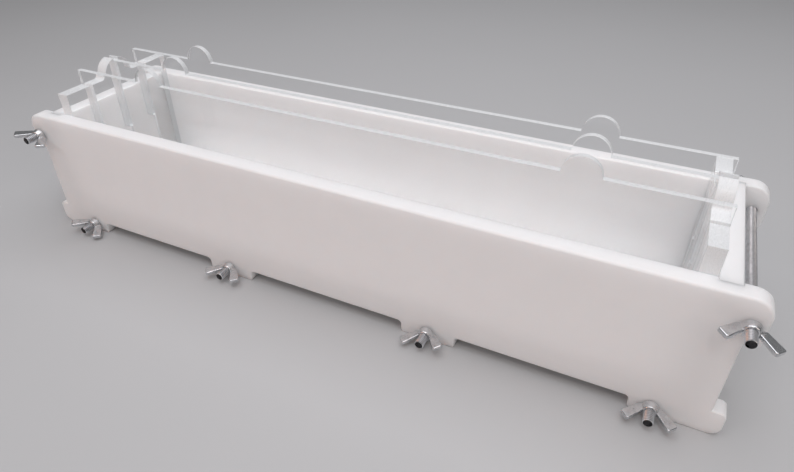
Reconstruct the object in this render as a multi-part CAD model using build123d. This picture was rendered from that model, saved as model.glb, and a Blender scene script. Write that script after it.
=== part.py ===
from build123d import *
import os

# Soap loaf mould: five plastic boards pulled together by six threaded rods with wing nuts, and a
# lift-out grid of clear sheets that divides the loaf into four long bars.
# Millimetres. The origin is on the table under the middle of the mould, X runs along the loaf,
# the front wall faces -Y and +Z is up.

# Cavity that the five boards enclose
cavity_length = 485.6
cavity_width = 109.0
cavity_depth = 76.8

# Boards
board = 12.0  # thickness of every board
foot_height = 9.2  # table to the lower edge of the walls
base_recess = 5.0  # lower edge of the walls to the underside of the base board
end_margin = 8.2  # long wall beyond the end wall's outer face
groove_depth = 3.0  # housings in the long walls for the end walls and the base board
groove_clearance = 0.1  # each side of a board in its housing

# Outline of a long wall
ear_reach = 8.4  # ears and corner feet beyond the wall's straight end
ear_height = 29.4
ear_top_radius = 11.0
ear_low_radius = 3.0
lobe_height = 19.0  # top of the corner foot's outward lobe
lobe_top_radius = 4.0
lobe_low_radius = 7.0
corner_foot_inset = 44.0  # straight end of the wall to the corner foot's inner side
mid_foot_offset = 84.7  # middle of the wall to the centre of a middle foot
mid_foot_width = 40.0
foot_root_radius = 3.0
foot_toe_radius = 2.0
top_round = 1.8  # outer top edge, round the ears
edge_round = 1.0  # inner top edge
edge_break = 0.6  # every other long edge of a long wall
end_wall_round = 1.0  # top edges of an end wall

# Threaded rods, quarter-inch, plain at their major diameter
rod_diameter = 6.35
rod_stick_out = 14.0  # beyond each long wall
rod_chamfer = 0.45
rod_hole_clearance = 0.3  # radial, in the walls
lower_rod_height = 7.1
upper_rod_drop = 17.3  # top of the walls to the upper rods
corner_rod_inset = 31.0  # straight end of the wall to the outer lower rods

# Wing nuts
nut_bore_clearance = 0.05  # radial running fit on the rod
hub_base_diameter = 11.0
hub_top_diameter = 9.0
hub_height = 5.6
hub_break = 1.0
wing_span = 32.4
wing_tip_rise = 10.8  # panel to the inner corner of a wing's tip
wing_width = 7.2
wing_angle = 42.0  # wing's run, out of the plane of the wall
wing_thickness = 2.8
wing_root_low = 0.8
wing_root_high = 5.2
wing_knee_reach = 7.5  # rod's axis to the bend in a wing's inner edge
wing_knee_rise = 1.4
wing_knee_radius = 2.0
wing_corner_radius = 1.4
wing_edge_radius = 0.7

# Right-hand end of each nut's wings above the left-hand end, in degrees, left to right
nut_tilts = {"front": (-11, -14, 0, 10, 1, -6), "back": (8, 5, -9, 3, -12, -47)}

# Lift-out grid of clear sheet
cross_thickness = 10.0
cross_rise = 16.7  # cross panels above the walls
cross_side_clearance = 0.3
cross_end_clearance = 0.2  # to the end wall
cross_tab_radius = 14.0
cross_tab_fillet = 3.0
divider_thickness = 4.0
divider_rise = 28.5  # dividers above the walls
divider_pitch = 29.2
divider_tab_radius = 12.0
divider_tab_left = 167.0  # middle of the divider to its left tab
divider_tab_right = 161.7
slot_clearance = 0.2  # each side of a divider in its slot
lap_height = 46.0  # base board to the floor of the slots
lap_clearance = 0.3

# Heights
body_low = foot_height
base_low = body_low + base_recess
base_top = base_low + board
wall_top = base_top + cavity_depth
upper_rod_height = wall_top - upper_rod_drop
cross_top = wall_top + cross_rise
divider_top = wall_top + divider_rise
lap_z = base_top + lap_height

# Places along X
cavity_end = cavity_length / 2
end_wall_outer = cavity_end + board
wall_end = end_wall_outer + end_margin
tip_x = wall_end + ear_reach
corner_foot_x = wall_end - corner_foot_inset
corner_rod_x = wall_end - corner_rod_inset
cross_outer = cavity_end - cross_end_clearance
cross_inner = cross_outer - cross_thickness

# Places along Y
wall_inner = cavity_width / 2
wall_outer = wall_inner + board

near = 0.01  # places closer than this count as the same when edges and corners are picked

rod_radius = rod_diameter / 2
rod_half_length = wall_outer + rod_stick_out

# Rod stations: place along X and height, left to right
rods = {
    "upper_left": (-wall_end, upper_rod_height),
    "lower_1": (-corner_rod_x, lower_rod_height),
    "lower_2": (-mid_foot_offset, lower_rod_height),
    "lower_3": (mid_foot_offset, lower_rod_height),
    "lower_4": (corner_rod_x, lower_rod_height),
    "upper_right": (wall_end, upper_rod_height),
}


def block(x_low, x_high, y_low, y_high, z_low, z_high):
    """A box given by its limits."""
    size = (x_high - x_low, y_high - y_low, z_high - z_low)
    centre = ((x_low + x_high) / 2, (y_low + y_high) / 2, (z_low + z_high) / 2)
    return Pos(*centre) * Box(*size)


def plate(outline, thickness):
    """An outline drawn on XZ, made into a plate that is centred on Y = 0."""
    return extrude(Plane.XZ * outline, thickness / 2, both=True)


def rounded_outline(corners):
    """A closed face from its corners in turn, each with the radius that rounds it."""
    points = [(x, z) for x, z, radius in corners]
    radii = [radius for x, z, radius in corners]
    return make_face(FilletPolyline(*points, radius=radii, close=True))


def wall_outline():
    """Front view of a long wall: ears at the top corners, lobed corner feet and two middle feet."""
    foot_in = mid_foot_offset - mid_foot_width / 2
    foot_out = mid_foot_offset + mid_foot_width / 2
    right_half = [
        (foot_in, body_low, foot_root_radius),
        (foot_in, 0, foot_toe_radius),
        (foot_out, 0, foot_toe_radius),
        (foot_out, body_low, foot_root_radius),
        (corner_foot_x, body_low, foot_root_radius),
        (corner_foot_x, 0, foot_toe_radius),
        (tip_x, 0, lobe_low_radius),
        (tip_x, lobe_height, lobe_top_radius),
        (wall_end, lobe_height, 0),
        (wall_end, wall_top - ear_height, 0),
        (tip_x, wall_top - ear_height, ear_low_radius),
        (tip_x, wall_top, ear_top_radius),
    ]
    left_half = [(-x, z, radius) for x, z, radius in reversed(right_half)]
    return rounded_outline(right_half + left_half)


def face_edges(solid, y, z_low, z_high):
    """The edges in a plate's face at Y = y that lie between two heights and aren't level at either."""
    chosen = []
    for edge in solid.edges():
        box = edge.bounding_box()
        in_face = abs(box.min.Y - y) < near and abs(box.max.Y - y) < near
        starts_between = z_low - near < box.min.Z < z_high - near
        ends_between = z_low + near < box.max.Z < z_high + near
        if in_face and starts_between and ends_between:
            chosen.append(edge)
    return chosen


def rounding_envelope():
    """A plate with the soft rounding of a wall's top and ears, wider than the wall below the ears."""
    shoulder = (wall_top - ear_height + lobe_height) / 2
    wide = tip_x + board
    corners = [
        (-wide, -board, 0),
        (wide, -board, 0),
        (wide, shoulder, 0),
        (tip_x, shoulder, 0),
        (tip_x, wall_top, ear_top_radius),
        (-tip_x, wall_top, ear_top_radius),
        (-tip_x, shoulder, 0),
        (-wide, shoulder, 0),
    ]
    envelope = plate(rounded_outline(corners), board)
    for y, radius in ((-board / 2, top_round), (board / 2, edge_round)):
        envelope = fillet(face_edges(envelope, y, shoulder, wall_top), radius)
    return envelope


def long_wall():
    """The front wall: rounded board with housings for the end walls and base, and rod holes."""
    wall = plate(wall_outline(), board)
    ear_low = wall_top - ear_height
    lower_edges = face_edges(wall, -board / 2, 0, ear_low) + face_edges(wall, board / 2, 0, ear_low)
    wall = chamfer(lower_edges, edge_break) & rounding_envelope()
    wall = Pos(0, -(wall_inner + wall_outer) / 2, 0) * wall
    groove_floor = -wall_inner - groove_depth
    groove_near = cavity_end - groove_clearance
    groove_far = end_wall_outer + groove_clearance
    for x_low, x_high in ((-groove_far, -groove_near), (groove_near, groove_far)):
        wall -= block(x_low, x_high, groove_floor, 0, body_low - groove_clearance, wall_top + board)
    base_cut = (base_low - groove_clearance, base_top + groove_clearance)
    wall -= block(-cavity_end, cavity_end, groove_floor, 0, *base_cut)
    for x, z in rods.values():
        hole = Cylinder(rod_radius + rod_hole_clearance, 3 * board)
        wall -= Pos(x, -wall_outer, z) * Rot(90, 0, 0) * hole
    return wall


def end_wall():
    """The right end wall: a board that sits in the housings of both long walls."""
    reach = wall_inner + groove_depth - groove_clearance
    wall = block(cavity_end, end_wall_outer, -reach, reach, body_low, wall_top)
    top_edges = wall.edges().filter_by(Axis.Y).group_by(Axis.Z)[-1]
    return fillet(top_edges, end_wall_round)


def base_board():
    """The floor of the cavity, in the housings of the long walls and between the end walls."""
    reach = wall_inner + groove_depth - groove_clearance
    length = cavity_end - groove_clearance
    return block(-length, length, -reach, reach, base_low, base_top)


def tie_rod(x, z):
    """A rod across the mould with chamfered ends."""
    rod = Cylinder(rod_radius, 2 * rod_half_length)
    rod = chamfer(rod.edges().filter_by(GeomType.CIRCLE), rod_chamfer)
    return Pos(x, 0, z) * Rot(90, 0, 0) * rod


def wing_nut():
    """A wing nut that stands on XY with its wings along X."""
    hub_radii = (hub_base_diameter / 2, hub_top_diameter / 2)
    hub = Cone(*hub_radii, hub_height, align=(Align.CENTER, Align.CENTER, Align.MIN))
    hub = fillet(hub.edges().filter_by(GeomType.CIRCLE), hub_break)
    root_x = hub_top_diameter / 2 - hub_break
    inner_tip = Vector(wing_span / 2, wing_tip_rise)
    outer_tip = inner_tip + Vector(0, wing_width).rotate(Axis.Z, wing_angle)
    corners = [
        (root_x, wing_root_low, 0),
        (wing_knee_reach, wing_knee_rise, wing_knee_radius),
        (inner_tip.X, inner_tip.Y, wing_corner_radius),
        (outer_tip.X, outer_tip.Y, wing_corner_radius),
        (root_x, wing_root_high, 0),
    ]
    wing = plate(rounded_outline(corners), wing_thickness)
    rim = []
    for edge in wing.edges():
        if edge.bounding_box().size.Y < near and edge.bounding_box().max.X > root_x + near:
            rim.append(edge)
    wing = fillet(rim, wing_edge_radius)
    nut = hub + wing + mirror(wing, Plane.YZ)
    bore = Cylinder(rod_radius + nut_bore_clearance, 3 * hub_height)
    return nut - bore


def cross_panel():
    """The right cross panel: a half-round finger tab on top, slotted from above for the dividers."""
    half_width = wall_inner - cross_side_clearance
    outline = Pos(0, (base_top + cross_top) / 2) * Rectangle(2 * half_width, cross_top - base_top)
    outline += Pos(0, cross_top) * Circle(cross_tab_radius)
    tab_feet = [v for v in outline.vertices()
                if abs(v.Y - cross_top) < near and abs(abs(v.X) - cross_tab_radius) < near]
    outline = fillet(tab_feet, cross_tab_fillet)
    slot_half = divider_thickness / 2 + slot_clearance
    for y in (-divider_pitch, 0, divider_pitch):
        slot_height = cross_top + 2 * cross_tab_radius - lap_z
        outline -= Pos(y, lap_z + slot_height / 2) * Rectangle(2 * slot_half, slot_height)
    panel = plate(outline, cross_thickness)
    return Pos((cross_inner + cross_outer) / 2, 0, 0) * Rot(0, 0, 90) * panel


def divider():
    """The middle divider: two finger tabs on top, lower corners cut away to lap the cross panels."""
    outline = Pos(0, (base_top + divider_top) / 2) * Rectangle(2 * cross_outer, divider_top - base_top)
    notch_in = cross_inner - lap_clearance
    notch_top = lap_z + lap_clearance
    for tab_x in (-divider_tab_left, divider_tab_right):
        outline += Pos(tab_x, divider_top) * Circle(divider_tab_radius)
    for side in (-1, 1):
        notch_x = side * (notch_in + cross_outer + 1) / 2
        notch_z = (base_top - 1 + notch_top) / 2
        notch = Rectangle(cross_outer + 1 - notch_in, notch_top - base_top + 1)
        outline -= Pos(notch_x, notch_z) * notch
    return plate(outline, divider_thickness)


# Every piece by its name
front_wall = long_wall()
right_end_wall = end_wall()
right_cross_panel = cross_panel()
middle_divider = divider()
pieces = {
    "front_wall": front_wall,
    "back_wall": mirror(front_wall, Plane.XZ),
    "right_end_wall": right_end_wall,
    "left_end_wall": mirror(right_end_wall, Plane.YZ),
    "base_board": base_board(),
    "right_cross_panel": right_cross_panel,
    "left_cross_panel": mirror(right_cross_panel, Plane.YZ),
    "front_divider": Pos(0, -divider_pitch, 0) * middle_divider,
    "middle_divider": middle_divider,
    "back_divider": Pos(0, divider_pitch, 0) * middle_divider,
}
nut = wing_nut()
for number, (station, (x, z)) in enumerate(rods.items()):
    pieces[f"rod_{station}"] = tie_rod(x, z)
    for face, outward in (("front", -1), ("back", 1)):
        tilt = nut_tilts[face][number]
        standing = Rot(0, -tilt, 0) * Rot(-90 * outward, 0, 0)
        pieces[f"wing_nut_{face}_{station}"] = Pos(x, outward * wall_outer, z) * standing * nut

os.makedirs("parts", exist_ok=True)
for name, solid in pieces.items():
    export_step(solid, f"parts/{name}.step")
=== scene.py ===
"""Looks of the soap loaf mould: white boards, threaded rods with wing nuts, and clear lift-out sheets."""

import math

import bmesh
import bpy
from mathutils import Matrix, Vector


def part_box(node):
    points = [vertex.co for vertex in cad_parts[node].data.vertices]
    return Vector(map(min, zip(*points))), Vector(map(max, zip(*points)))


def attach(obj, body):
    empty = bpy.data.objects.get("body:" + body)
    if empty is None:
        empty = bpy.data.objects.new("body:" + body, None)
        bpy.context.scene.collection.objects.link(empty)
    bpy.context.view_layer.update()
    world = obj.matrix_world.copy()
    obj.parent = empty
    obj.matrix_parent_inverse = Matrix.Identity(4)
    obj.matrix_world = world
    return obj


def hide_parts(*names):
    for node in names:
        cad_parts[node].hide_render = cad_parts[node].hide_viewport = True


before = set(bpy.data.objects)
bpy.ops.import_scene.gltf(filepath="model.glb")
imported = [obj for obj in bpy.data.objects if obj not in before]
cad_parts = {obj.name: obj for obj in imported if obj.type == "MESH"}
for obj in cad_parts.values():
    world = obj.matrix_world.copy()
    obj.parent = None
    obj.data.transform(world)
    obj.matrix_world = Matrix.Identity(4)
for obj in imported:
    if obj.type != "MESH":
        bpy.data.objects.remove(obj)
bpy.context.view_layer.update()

MM = 0.001
INCH = 25.4 * MM
STATIONS = ("upper_left", "lower_1", "lower_2", "lower_3", "lower_4", "upper_right")
BOARDS = ("front_wall", "back_wall", "left_end_wall", "right_end_wall", "base_board")
SHEETS = ("left_cross_panel", "right_cross_panel", "front_divider", "middle_divider", "back_divider")

# Where each lamp stands and what it points at, its width and height in metres, its watts and colour, and how
# many degrees it spreads. The low one is about as low as the walls, so it warms little but their outer faces.
LAMPS = {
    "overhead": ((0.1, 0.1, 1.3), (0.1, 0.1, 0.05), (1.6, 1.5), 13.4, (0.97, 0.962, 1.0), 180),
    "front_card": ((-0.5, -1.3, 1.1), (0, 0, 0.05), (1.8, 0.5), 4.9, (1.0, 0.885, 0.87), 180),
    "front_low": ((-1.4, -2.3, 0.09), (0, 0, 0.09), (1.8, 0.16), 0.32, (1.0, 0.42, 0.22), 40),
    "right": ((1.3, -0.7, 0.9), (0.1, 0, 0.05), (0.35, 0.9), 2.6, (1.0, 0.86, 0.8), 180),
    "glint": ((0.3, -0.75, 1.25), (0, 0, 0.05), (0.12, 0.12), 1.7, (1.0, 0.98, 0.96), 180),
}
ROOM_COLOUR = (0.93, 0.93, 0.94, 1)
ROOM_STRENGTH = 0.19
FLOOR_REACH = 6


# ---------------------------------------------------------------- camera


def stand_camera():
    """A camera in front of the mould and to the right of its middle, looking down on it."""
    data = bpy.data.cameras.new("camera")
    data.lens = 27.19
    data.sensor_width = 36
    data.clip_start = 0.01
    data.clip_end = 50
    camera = bpy.data.objects.new("camera", data)
    camera.location = (0.1978, -0.3457, 0.3012)
    camera.rotation_euler = (math.radians(54.72), math.radians(0.26), math.radians(25.73))
    bpy.context.scene.collection.objects.link(camera)
    bpy.context.scene.camera = camera


# ---------------------------------------------------------------- shader writing


class Signal:
    """A shader socket that adds, takes away and multiplies like a number."""

    def __init__(self, finish, socket):
        self.finish = finish
        self.socket = socket

    def maths(self, operation, *values):
        """A Math node on these values."""
        return self.finish.node("ShaderNodeMath", {"operation": operation}, dict(enumerate(values)))

    def __add__(self, other):
        return self.maths("ADD", self, other)

    def __sub__(self, other):
        return self.maths("SUBTRACT", self, other)

    def __rsub__(self, other):
        return self.maths("SUBTRACT", other, self)

    def __mul__(self, other):
        return self.maths("MULTIPLY", self, other)

    __radd__ = __add__
    __rmul__ = __mul__

    def size(self):
        """The value without its sign."""
        return self.maths("ABSOLUTE", self)

    def between(self, low, high):
        """0 at low and 1 at high, with an eased step from one to the other."""
        settings = {"interpolation_type": "SMOOTHSTEP"}
        return self.finish.node("ShaderNodeMapRange", settings, {0: self, 1: low, 2: high})


class Finish:
    """A material in the making."""

    def __init__(self, name):
        self.material = bpy.data.materials.new(name)
        self.material.use_nodes = True
        self.tree = self.material.node_tree
        self.tree.nodes.clear()
        self.points = None

    def node(self, kind, settings=None, values=None, out=0):
        """Adds a node: its settings first, then its sockets' values or links. Gives its output."""
        node = self.tree.nodes.new(kind)
        for key, value in (settings or {}).items():
            setattr(node, key, value)
        for key, value in (values or {}).items():
            if isinstance(value, Signal):
                self.tree.links.new(value.socket, node.inputs[key])
            elif isinstance(value, tuple) and node.inputs[key].type == "RGBA":
                node.inputs[key].default_value = (*value, 1)
            else:
                node.inputs[key].default_value = value
        return Signal(self, node.outputs[out])

    def place(self, stretch=(1, 1, 1)):
        """Where a point is on the mould, in millimetres, with each axis stretched as asked."""
        if self.points is None:
            self.points = self.node("ShaderNodeTexCoord", out="Object")
        scale = tuple(s / MM for s in stretch)
        settings = {"operation": "MULTIPLY"}
        return self.node("ShaderNodeVectorMath", settings, {0: self.points, 1: scale})

    def axes(self, vector):
        """The three parts of a vector."""
        first = self.node("ShaderNodeSeparateXYZ", values={0: vector})
        return [Signal(self, socket) for socket in first.socket.node.outputs]

    def facing(self):
        """The three parts of the surface's own direction, before any pose turns it."""
        return self.axes(self.node("ShaderNodeTexCoord", out="Normal"))

    def noise(self, stretch, scale, detail=2.0, rough=0.5):
        """Noise from 0 to 1 whose features are about 1 / scale millimetres long."""
        values = {"Vector": self.place(stretch), "Scale": scale, "Detail": detail, "Roughness": rough}
        return self.node("ShaderNodeTexNoise", values=values)

    def cells(self, stretch, scale):
        """Distance to the nearest of a crowd of points, in cells."""
        return self.node("ShaderNodeTexVoronoi", values={"Vector": self.place(stretch), "Scale": scale})

    def mix(self, share, first, second):
        """The first colour where share is 0 and the second where it is 1."""
        settings = {"data_type": "RGBA"}
        return self.node("ShaderNodeMix", settings, {0: share, 6: first, 7: second}, out=2)

    def bump(self, height, depth):
        """A normal from a height of 0 to 1 that stands for a depth in millimetres."""
        return self.node("ShaderNodeBump", values={"Height": height, "Distance": depth * MM, "Strength": 1.0})

    def principled(self, **values):
        """A Principled shader. Its sockets are named with underscores for spaces."""
        named = {key.replace("_", " "): value for key, value in values.items()}
        return self.node("ShaderNodeBsdfPrincipled", values=named)

    def wear(self, shader):
        """Ends the material with this shader and gives the material."""
        output = self.tree.nodes.new("ShaderNodeOutputMaterial")
        self.tree.links.new(shader.socket, output.inputs["Surface"])
        return self.material


# ---------------------------------------------------------------- finishes


def white_polyethylene():
    """Milky satin sheet: cloudy body, pressed grain on the faces, cutter marks on the cut edges."""
    finish = Finish("white_polyethylene")
    cloud = finish.noise((1, 1, 1), 0.035, detail=3)
    speck = finish.noise((1, 1, 1), 0.9, detail=2).between(0.72, 0.8)
    smear = finish.noise((0.35, 1, 1), 0.06, detail=4, rough=0.62)
    grain = finish.noise((1, 1, 1), 1.4, detail=3, rough=0.6)
    draw = finish.noise((0.02, 1.0, 1.0), 1.1, detail=2)
    scuff = finish.noise((0.05, 0.9, 1.3), 0.8, detail=3, rough=0.7).between(0.66, 0.72)
    hair = finish.cells((0.04, 1.1, 0.5), 0.35)
    hairline = (1 - hair.between(0.02, 0.05)) * finish.noise((1, 1, 1), 0.02).between(0.5, 0.6)

    ripple = finish.noise((1.0, 0.06, 1.0), 2.2, detail=1)
    level = finish.facing()[2].size().between(0.55, 0.9)
    cut_marks = ripple * level

    thin_milk = (0.93, 0.925, 0.928)
    thick_milk = (0.947, 0.943, 0.946)
    dust = (0.8, 0.78, 0.765)
    fresh_scratch = (0.96, 0.955, 0.955)
    tone = finish.mix(cloud.between(0.3, 0.7), thin_milk, thick_milk)
    tone = finish.mix(speck * 0.35, tone, dust)
    tone = finish.mix(hairline * 0.3, tone, fresh_scratch)
    roughness = 0.36 + smear * 0.16 + grain * 0.05 + scuff * 0.1 + cut_marks * 0.1
    relief = grain * 0.45 + draw * 0.4 + cut_marks * 0.9 - scuff * 0.35 - hairline * 0.5
    shader = finish.principled(
        Base_Color=tone,
        Roughness=roughness,
        IOR=1.52,
        Subsurface_Weight=0.65,
        Subsurface_Radius=(1.0, 0.92, 0.9),
        Subsurface_Scale=0.014,
        Normal=finish.bump(relief, 0.03),
    )
    return finish.wear(shader)


def bright_zinc():
    """Zinc plate on a casting: fine orange peel, darker patches, pits and faint drawn streaks."""
    finish = Finish("bright_zinc")
    peel = finish.noise((1, 1, 1), 2.6, detail=3, rough=0.6)
    pits = finish.noise((1, 1, 1), 5.5, detail=2).between(0.64, 0.76)
    patch = finish.noise((1, 1, 1), 0.28, detail=3, rough=0.6).between(0.4, 0.68)
    streak = finish.noise((0.15, 1, 3.0), 1.6, detail=2)

    bright = (0.76, 0.77, 0.785)
    handled = (0.58, 0.59, 0.605)
    drawn = (0.46, 0.47, 0.48)
    pitted = (0.26, 0.26, 0.27)
    tone = finish.mix(patch, bright, handled)
    tone = finish.mix(streak * 0.35, tone, drawn)
    tone = finish.mix(pits * 0.5, tone, pitted)
    shader = finish.principled(
        Base_Color=tone,
        Metallic=1.0,
        Roughness=0.15 + peel * 0.1 + patch * 0.08,
        Normal=finish.bump(peel * 0.5 + streak * 0.4 - pits * 0.6, 0.03),
    )
    return finish.wear(shader)


def zinc_thread(rod_end):
    """Plated rod: crests in the plate's tone, painted shade in the thread roots, a turned end cone painted
    brighter as a highlight, and a sawn end painted near black as shade.

    The rods end rod_end millimetres in front of and behind the mould's middle.
    """
    finish = Finish("zinc_thread")
    from_middle = finish.axes(finish.place())[1].size()
    sawn = from_middle.between(rod_end - 0.06, rod_end - 0.01)
    coned = from_middle.between(rod_end - 0.5, rod_end - 0.42)
    depth = finish.node("ShaderNodeAttribute", {"attribute_name": "thread_depth"}, out="Fac")
    root = depth.between(0.25, 0.9)
    grime = finish.noise((1, 0.3, 1), 0.5, detail=3, rough=0.6).between(0.4, 0.7)
    rolled = finish.noise((1, 1, 1), 3.5, detail=2)
    saw = finish.noise((0.3, 1, 5.0), 1.2, detail=2)

    plate = (0.76, 0.775, 0.8)
    dulled = (0.54, 0.55, 0.565)
    # Painted shade: the thread roots are darkened where the thread is deepest.
    painted_root_shade = (0.16, 0.162, 0.168)
    # The end cone is painted brighter than the plate: partly turned bare metal, partly a painted highlight.
    turned = (0.93, 0.94, 0.95)
    # Painted shade: the sawn end face is painted near black, with only faint saw marks in it.
    sawn_end_painted_shade = finish.mix(saw, (0.03, 0.03, 0.032), (0.08, 0.08, 0.084))
    tone = finish.mix(grime * 0.7, plate, dulled)
    tone = finish.mix(root * 0.75, tone, painted_root_shade)
    tone = finish.mix(coned, tone, turned)
    tone = finish.mix(sawn, tone, sawn_end_painted_shade)
    shader = finish.principled(
        Base_Color=tone,
        Metallic=1.0,
        Roughness=0.24 + rolled * 0.1 + grime * 0.1 + root * 0.2 + sawn * 0.22,
        Normal=finish.bump(rolled * 0.4 + saw * sawn * 1.5, 0.04),
    )
    return finish.wear(shader)


def cut_edge(finish, sheet_axis):
    """Where a clear sheet's edges are, and the shader of their frosted cut, which glows faintly with painted
    light.
    """
    edge = 1 - finish.facing()[sheet_axis].size().between(0.72, 0.95)
    cut = finish.noise((1, 1, 1), 2.4, detail=3, rough=0.65)
    saw_lines = (3.0, 0.4, 3.0) if sheet_axis else (0.4, 3.0, 3.0)
    saw = finish.noise(saw_lines, 1.0, detail=2)
    clear_cut = (0.74, 0.765, 0.775)
    frosted_cut = (0.88, 0.895, 0.9)
    rim = finish.principled(
        Base_Color=finish.mix(cut, clear_cut, frosted_cut),
        Roughness=0.18 + cut * 0.2,
        IOR=1.49,
        Transmission_Weight=0.15,
        # Painted light: a faint emission makes the cut edges glow, though they are no lamp.
        Emission_Color=(0.93, 0.96, 1.0),
        Emission_Strength=0.05,
        Normal=finish.bump(cut * 0.5 + saw, 0.05),
    )
    return edge, rim


def clear_sheet(name, sheet_axis):
    """Clear sheet, thin along sheet_axis, with a faint haze, hairlines and frosted cut edges.

    Lamps shine straight through it, with a little loss at its edges.
    """
    finish = Finish(name)
    along_hairs = (0.05, 1, 1) if sheet_axis else (1, 0.05, 1)
    haze = finish.noise((1, 1, 1), 0.05, detail=4, rough=0.62)
    hair = finish.noise(along_hairs, 1.3, detail=3, rough=0.7).between(0.7, 0.76)
    glass = finish.principled(
        Base_Color=(0.996, 0.998, 0.999),
        Roughness=0.004 + haze * 0.01 + hair * 0.03,
        IOR=1.3,
        Transmission_Weight=1.0,
    )
    edge, rim = cut_edge(finish, sheet_axis)
    sheet = finish.node("ShaderNodeMixShader", values={0: edge, 1: glass, 2: rim})
    through_face = finish.node("ShaderNodeBsdfTransparent", values={"Color": (0.995, 0.997, 0.998)})
    through_edge = finish.node("ShaderNodeBsdfTransparent", values={"Color": (0.8, 0.82, 0.83)})
    let_through = finish.node("ShaderNodeMixShader", values={0: edge, 1: through_face, 2: through_edge})
    to_lamp = finish.node("ShaderNodeLightPath", out="Is Shadow Ray")
    return finish.wear(finish.node("ShaderNodeMixShader", values={0: to_lamp, 1: sheet, 2: let_through}))


def floor_paint():
    """Plain pale table top."""
    finish = Finish("floor_paint")
    shade = finish.noise((1, 1, 1), 0.004, detail=2)
    tone = finish.mix(shade, (0.51, 0.515, 0.52), (0.53, 0.535, 0.54))
    matt = 0.75
    return finish.wear(finish.principled(Base_Color=tone, Roughness=matt))


# ---------------------------------------------------------------- mesh helpers


def new_piece(name, mesh, material):
    """A piece whose place is in its mesh, with its material."""
    mesh.name = name
    mesh.materials.clear()
    mesh.materials.append(material)
    piece = bpy.data.objects.new(name, mesh)
    bpy.context.scene.collection.objects.link(piece)
    return piece


def merged_copy(node, whole_faces=False):
    """A copy of a CAD node's mesh with its loose triangles joined, and its flat faces made whole if asked."""
    same_point = 0.002 * MM
    no_length = 0.0001 * MM
    flat = math.radians(0.5)
    made = bmesh.new()
    made.from_mesh(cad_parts[node].data)
    bmesh.ops.remove_doubles(made, verts=made.verts, dist=same_point)
    bmesh.ops.dissolve_degenerate(made, edges=made.edges, dist=no_length)
    if whole_faces:
        bmesh.ops.dissolve_limit(made, angle_limit=flat, verts=made.verts, edges=made.edges)
    mesh = bpy.data.meshes.new(node)
    made.to_mesh(mesh)
    made.free()
    return mesh


def keep_result(piece):
    """Replaces a piece's mesh by what its modifiers make of it, and takes the modifiers off."""
    graph = bpy.context.evaluated_depsgraph_get()
    mesh = bpy.data.meshes.new_from_object(piece.evaluated_get(graph))
    piece.modifiers.clear()
    piece.data = mesh
    mesh.name = piece.name


def sharpen(piece, degrees):
    """Keeps the shading apart on the two sides of each edge that turns by more than this."""
    piece.data.set_sharp_from_angle(angle=math.radians(degrees))


# ---------------------------------------------------------------- threaded rods


class Growth:
    """A Geometry Nodes tree in the making."""

    def __init__(self, name):
        self.tree = bpy.data.node_groups.new(name, "GeometryNodeTree")
        self.tree.interface.new_socket("Geometry", in_out="INPUT", socket_type="NodeSocketGeometry")
        self.tree.interface.new_socket("Geometry", in_out="OUTPUT", socket_type="NodeSocketGeometry")
        self.sizes = {}
        self.entry = self.tree.nodes.new("NodeGroupInput")
        self.exit = self.tree.nodes.new("NodeGroupOutput")

    def size(self, name, value, whole=False):
        """A named input of the tree and the value it will be given."""
        kind = "NodeSocketInt" if whole else "NodeSocketFloat"
        socket = self.tree.interface.new_socket(name, in_out="INPUT", socket_type=kind)
        self.sizes[socket.identifier] = value
        return self.entry.outputs[name]

    def node(self, kind, settings=None, values=None, out=0):
        """Adds a node: its settings first, then its sockets' values or links. Gives its output."""
        node = self.tree.nodes.new(kind)
        for key, value in (settings or {}).items():
            setattr(node, key, value)
        for key, value in (values or {}).items():
            if isinstance(value, bpy.types.NodeSocket):
                self.tree.links.new(value, node.inputs[key])
            else:
                node.inputs[key].default_value = value
        return node.outputs[out]

    def maths(self, operation, *values):
        """A Math node on these values."""
        return self.node("ShaderNodeMath", {"operation": operation}, dict(enumerate(values)))

    def grow(self, piece, result, material):
        """Ends the tree, runs it on a piece and keeps the result as the piece's plain mesh."""
        real = self.node("GeometryNodeRealizeInstances", values={0: result})
        dressed = self.node("GeometryNodeSetMaterial", values={"Geometry": real, "Material": material})
        self.tree.links.new(dressed, self.exit.inputs[0])
        modifier = piece.modifiers.new("growth", "NODES")
        modifier.node_group = self.tree
        for identifier, value in self.sizes.items():
            modifier[identifier] = value
        keep_result(piece)


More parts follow.
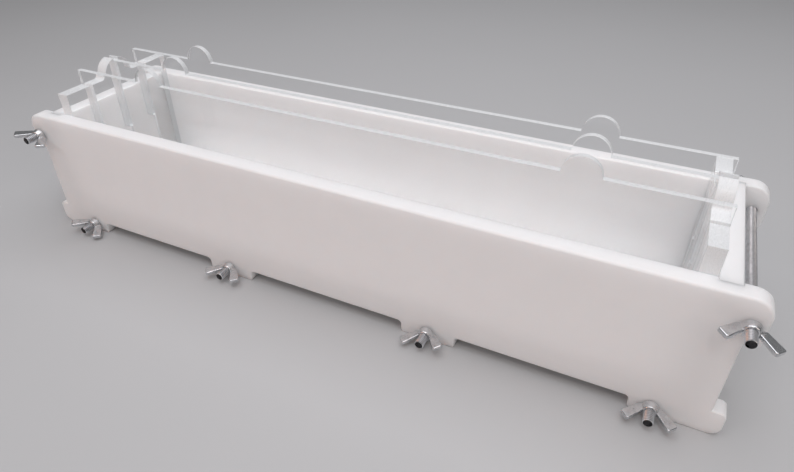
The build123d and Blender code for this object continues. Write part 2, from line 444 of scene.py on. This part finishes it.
def screw_thread(grow, rod_length, rod_radius):
    """A right-hand threaded rod along Z with coned ends: one band of thread wound round and round.

    The band is a grid. Its long side counts turns, and its short side runs from root to root over the crest.
    """
    threads_per_inch = 20
    thread_pitch = INCH / threads_per_inch
    thread_height = 0.6134 * thread_pitch
    spare_turns = 3
    rows = 4
    crest_row = 1 / 6
    root_row = 1 / 2
    crest_radius = rod_radius - 0.015 * MM
    same_point = 0.02 * MM
    length = grow.size("Length", rod_length)
    pitch = grow.size("Pitch", thread_pitch)
    crest = grow.size("Crest radius", crest_radius)
    root = grow.size("Root radius", crest_radius - thread_height)
    cone = grow.size("End cone", 0.46 * MM)
    sides = grow.size("Sides", 28, whole=True)

    half = grow.maths("MULTIPLY", length, 0.5)
    turns = grow.maths("ADD", grow.maths("CEIL", grow.maths("DIVIDE", length, pitch)), spare_turns)
    stations = grow.maths("ADD", grow.maths("MULTIPLY", turns, sides), 1)
    grid_sizes = {"Size X": turns, "Size Y": 1.0, "Vertices X": stations, "Vertices Y": rows}
    band = grow.node("GeometryNodeMeshGrid", values=grid_sizes)

    place = grow.node("GeometryNodeInputPosition")
    parts = grow.node("ShaderNodeSeparateXYZ", values={0: place}).node.outputs
    turn, side = parts[0], parts[1]
    off_crest = grow.maths("ABSOLUTE", side)
    # Rows at 1/6 climb a tenth of the pitch and those at 1/2 climb half of it, so the crest is a narrow flat.
    spread = grow.maths("MULTIPLY", side, grow.maths("MULTIPLY_ADD", off_crest, 1.2, 0.4))
    climb = grow.maths("MULTIPLY", grow.maths("ADD", turn, spread), pitch)
    height = grow.maths("MAXIMUM", grow.maths("MINIMUM", climb, half), grow.maths("MULTIPLY", half, -1))
    flank = {0: off_crest, 1: crest_row, 2: root_row, 3: crest, 4: root}
    thread_radius = grow.node("ShaderNodeMapRange", values=flank)
    depth = grow.node("ShaderNodeMapRange", values={0: off_crest, 1: crest_row, 2: root_row})
    marked = {"Geometry": band, "Name": "thread_depth", "Value": depth}
    band = grow.node("GeometryNodeStoreNamedAttribute", values=marked)
    to_end = grow.maths("SUBTRACT", half, grow.maths("ABSOLUTE", height))
    coned_radius = grow.maths("ADD", grow.maths("SUBTRACT", crest, cone), to_end)
    radius = grow.maths("MINIMUM", thread_radius, coned_radius)
    angle = grow.maths("MULTIPLY", turn, math.tau)
    wound = {
        0: grow.maths("MULTIPLY", radius, grow.maths("COSINE", angle)),
        1: grow.maths("MULTIPLY", radius, grow.maths("SINE", angle)),
        2: height,
    }
    wound = grow.node("ShaderNodeCombineXYZ", values=wound)
    band = grow.node("GeometryNodeSetPosition", values={"Geometry": band, "Position": wound})

    end_radius = grow.maths("SUBTRACT", crest, cone)
    disc_sizes = {"Vertices": sides, "Radius": end_radius}
    disc = grow.node("GeometryNodeMeshCircle", {"fill_type": "TRIANGLE_FAN"}, disc_sizes)
    up = grow.node("ShaderNodeCombineXYZ", values={2: half})
    down = grow.node("ShaderNodeCombineXYZ", values={2: grow.maths("MULTIPLY", half, -1)})
    top = grow.node("GeometryNodeTransform", values={"Geometry": disc, "Translation": up})
    bottom = grow.node("GeometryNodeTransform", values={"Geometry": disc, "Translation": down})
    bottom = grow.node("GeometryNodeFlipFaces", values={0: bottom})
    joined = grow.tree.nodes.new("GeometryNodeJoinGeometry")
    for part in (band, top, bottom):
        grow.tree.links.new(part, joined.inputs[0])
    merge = {"Geometry": joined.outputs[0], "Distance": same_point}
    return grow.node("GeometryNodeMergeByDistance", values=merge)


def tie_rods(material):
    """The six rods, grown on one point per rod at the middle of its CAD node, each turned its own way."""
    names = [f"rod_{station}" for station in STATIONS]
    middles = [tuple(sum(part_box(name), Vector()) / 2) for name in names]
    rod_low, rod_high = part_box(names[0])
    mesh = bpy.data.meshes.new("tie_rods")
    mesh.from_pydata(middles, [], [])
    rods = new_piece("tie_rods", mesh, material)
    grow = Growth("tie_rod_thread")
    rod = screw_thread(grow, rod_high.y - rod_low.y, (rod_high.x - rod_low.x) / 2)
    seed = grow.size("Seed", 4, whole=True)
    spin = grow.node(
        "FunctionNodeRandomValue",
        {"data_type": "FLOAT"},
        {2: 0.0, 3: math.tau, "Seed": seed},
        out=1,
    )
    laid = grow.node("ShaderNodeCombineXYZ", values={0: -math.pi / 2})
    turned = grow.node("ShaderNodeCombineXYZ", values={2: spin})
    values = {"Points": grow.entry.outputs["Geometry"], "Instance": rod, "Rotation": laid}
    placed = grow.node("GeometryNodeInstanceOnPoints", values=values)
    values = {"Instances": placed, "Rotation": turned, "Local Space": True}
    placed = grow.node("GeometryNodeRotateInstances", values=values)
    grow.grow(rods, placed, material)
    sharpen(rods, degrees=35)
    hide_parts(*names)
    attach(rods, "mould")


# ---------------------------------------------------------------- cast wing nuts


def cast_nut(node, material):
    """A wing nut with level faces and softly turned rims."""
    nut = new_piece(f"cast_{node}", merged_copy(node), material)
    nut.data.shade_smooth()
    sharpen(nut, degrees=38)
    level = nut.modifiers.new("level_faces", "WEIGHTED_NORMAL")
    level.keep_sharp = True
    keep_result(nut)
    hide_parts(node)
    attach(nut, node)


# ---------------------------------------------------------------- clear sheets


def sheet_piece(node, material, sheet_axis):
    """A clear sheet with its sharp edges broken and its two faces, square to sheet_axis, dead flat."""
    square_on = 0.999
    sheet = new_piece(f"{node}_sheet", merged_copy(node, whole_faces=True), material)
    broken = sheet.modifiers.new("broken_edges", "BEVEL")
    broken.width = 0.22 * MM
    broken.segments = 2
    broken.limit_method = "ANGLE"
    broken.angle_limit = math.radians(40)
    keep_result(sheet)
    sharpen(sheet, degrees=15)
    for side in sheet.data.polygons:
        if abs(side.normal[sheet_axis]) > square_on:
            side.use_smooth = False
    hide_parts(node)
    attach(sheet, node)


# ---------------------------------------------------------------- studio


def soft_light(name, place, aim, size, power, colour, spread):
    """A rectangular lamp at its place, turned to its aim."""
    data = bpy.data.lights.new(name, "AREA")
    data.spread = math.radians(spread)
    data.shape = "RECTANGLE"
    data.size, data.size_y = size
    data.energy = power
    data.color = colour
    lamp = bpy.data.objects.new(name, data)
    lamp.location = place
    lamp.rotation_euler = (Vector(aim) - Vector(place)).to_track_quat("-Z", "Y").to_euler()
    bpy.context.scene.collection.objects.link(lamp)


def studio():
    """A plain pale floor, the lamps and a dim even room."""
    corners = [(-1, -1), (1, -1), (1, 1), (-1, 1)]
    mesh = bpy.data.meshes.new("floor")
    mesh.from_pydata([(x * FLOOR_REACH, y * FLOOR_REACH, 0) for x, y in corners], [], [(0, 1, 2, 3)])
    floor = new_piece("floor", mesh, floor_paint())
    for name, lamp in LAMPS.items():
        soft_light(name, *lamp)
    world = bpy.data.worlds.new("studio")
    world.use_nodes = True
    room = world.node_tree.nodes["Background"]
    room.inputs["Color"].default_value = ROOM_COLOUR
    room.inputs["Strength"].default_value = ROOM_STRENGTH
    bpy.context.scene.world = world
    bpy.context.scene.view_settings.view_transform = "Standard"


# ---------------------------------------------------------------- the mould

stand_camera()
studio()

white = white_polyethylene()
for board in BOARDS:
    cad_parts[board].data.materials.clear()
    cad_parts[board].data.materials.append(white)

rod_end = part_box("rod_lower_1")[1].y / MM
tie_rods(zinc_thread(rod_end))

zinc = bright_zinc()
for face in ("front", "back"):
    for station in STATIONS:
        cast_nut(f"wing_nut_{face}_{station}", zinc)

# A cross panel is thin along X, axis 0, and a divider along Y, axis 1.
sheet_finishes = (clear_sheet("clear_cross_sheet", 0), clear_sheet("clear_divider_sheet", 1))
for node in SHEETS:
    sheet_axis = 0 if node.endswith("cross_panel") else 1
    sheet_piece(node, sheet_finishes[sheet_axis], sheet_axis)
